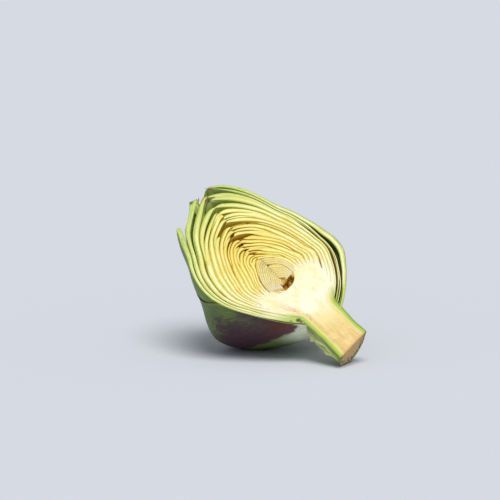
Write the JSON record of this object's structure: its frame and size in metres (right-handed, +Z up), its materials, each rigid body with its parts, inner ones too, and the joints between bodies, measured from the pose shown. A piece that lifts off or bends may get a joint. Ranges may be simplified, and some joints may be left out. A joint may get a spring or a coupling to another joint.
{
  "type": "artichoke",
  "caption": "Globe artichoke cut in half lengthwise, green bracts layered around a pale heart and choke, lying on its rounded back.",
  "frame": {"origin": "On the surface it lies on, at the centre of the bounding box seen from above.", "axes": "+Z up, away from the surface; +X along the length, from the leaf tips towards the cut stem, which points slightly down; the cut face looks up and towards -Y."},
  "size_m": [0.133, 0.0906, 0.0897],
  "materials": {
    "heart": "matte",
    "choke": "matte",
    "outer_bract": "satin",
    "middle_bract": "satin",
    "inner_bract": "satin"
  },
  "bodies": {
    "root": {"heart_and_stem": "heart", "choke": "choke", "bract_01": "outer_bract", "bract_02": "outer_bract", "bract_03": "outer_bract", "bract_04": "outer_bract", "bract_05": "outer_bract", "bract_06": "outer_bract", "bract_07": "outer_bract", "bract_08": "outer_bract", "bract_09": "outer_bract", "bract_10": "outer_bract", "bract_11": "outer_bract", "bract_12": "outer_bract", "bract_13": "outer_bract", "bract_14": "outer_bract", "bract_15": "middle_bract", "bract_16": "middle_bract", "bract_17": "middle_bract", "bract_18": "middle_bract", "bract_19": "middle_bract", "bract_20": "middle_bract", "bract_21": "middle_bract", "bract_22": "middle_bract", "bract_23": "middle_bract", "bract_24": "middle_bract", "bract_25": "inner_bract", "bract_26": "inner_bract", "bract_27": "inner_bract", "bract_28": "inner_bract", "bract_29": "inner_bract", "bract_30": "inner_bract", "bract_31": "inner_bract", "bract_32": "inner_bract", "bract_33": "inner_bract", "bract_34": "inner_bract", "bract_35": "inner_bract", "bract_36": "inner_bract", "bract_37": "inner_bract", "bract_38": "inner_bract", "bract_39": "inner_bract", "bract_40": "inner_bract", "bract_41": "inner_bract", "bract_42": "inner_bract"}
  },
  "joints": []
}
